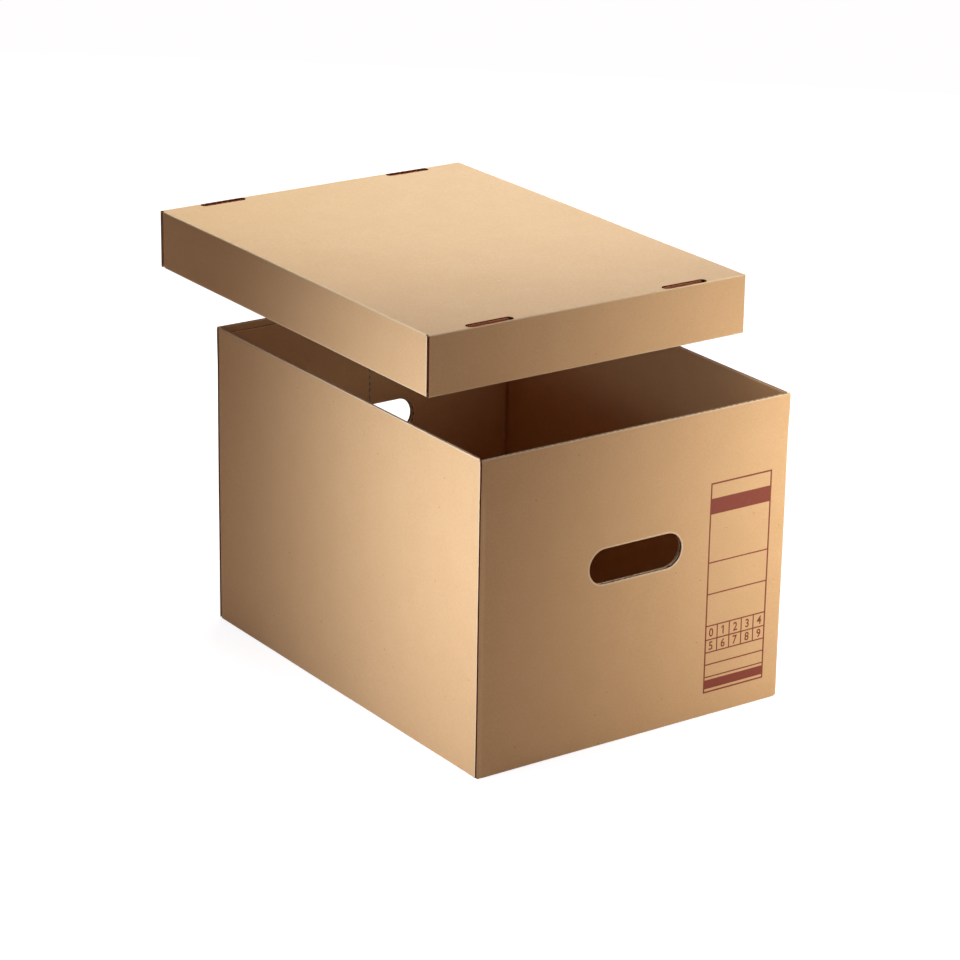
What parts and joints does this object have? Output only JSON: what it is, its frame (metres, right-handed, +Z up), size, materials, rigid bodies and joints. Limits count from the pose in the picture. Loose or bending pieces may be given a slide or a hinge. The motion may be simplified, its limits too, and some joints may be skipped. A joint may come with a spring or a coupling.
{
  "type": "archival box",
  "caption": "Corrugated-board archival box: a folded and glued tray with hand holes front and back, and a lift-off lid held raised and set back.",
  "frame": {"origin": "centre of the tray's underside, on the surface that it rests on", "axes": "+X along the front wall, to the right of someone facing it; +Y from the front wall to the back wall; +Z up"},
  "size_m": [0.338, 0.524, 0.379],
  "materials": {
    "kraft_board": "matt, uncoated"
  },
  "bodies": {
    "tray": {"base_panel": "kraft_board", "left_wall": "kraft_board", "right_wall": "kraft_board", "front_wall": "kraft_board", "back_wall": "kraft_board", "front_left_flap": "kraft_board", "front_right_flap": "kraft_board", "back_left_flap": "kraft_board", "back_right_flap": "kraft_board"},
    "lid": {"lid_top_panel": "kraft_board", "lid_left_wall": "kraft_board", "lid_right_wall": "kraft_board", "lid_front_outer_wall": "kraft_board", "lid_front_fold_strip": "kraft_board", "lid_front_inner_wall": "kraft_board", "lid_front_left_flap": "kraft_board", "lid_front_right_flap": "kraft_board", "lid_back_outer_wall": "kraft_board", "lid_back_fold_strip": "kraft_board", "lid_back_inner_wall": "kraft_board", "lid_back_left_flap": "kraft_board", "lid_back_right_flap": "kraft_board"}
  },
  "joints": [
    {"name": "lid_lift", "type": "slide", "parent": "tray", "child": "lid", "axis": [0, 0, 1], "range_m": [-0.033, 0.3]}
  ]
}
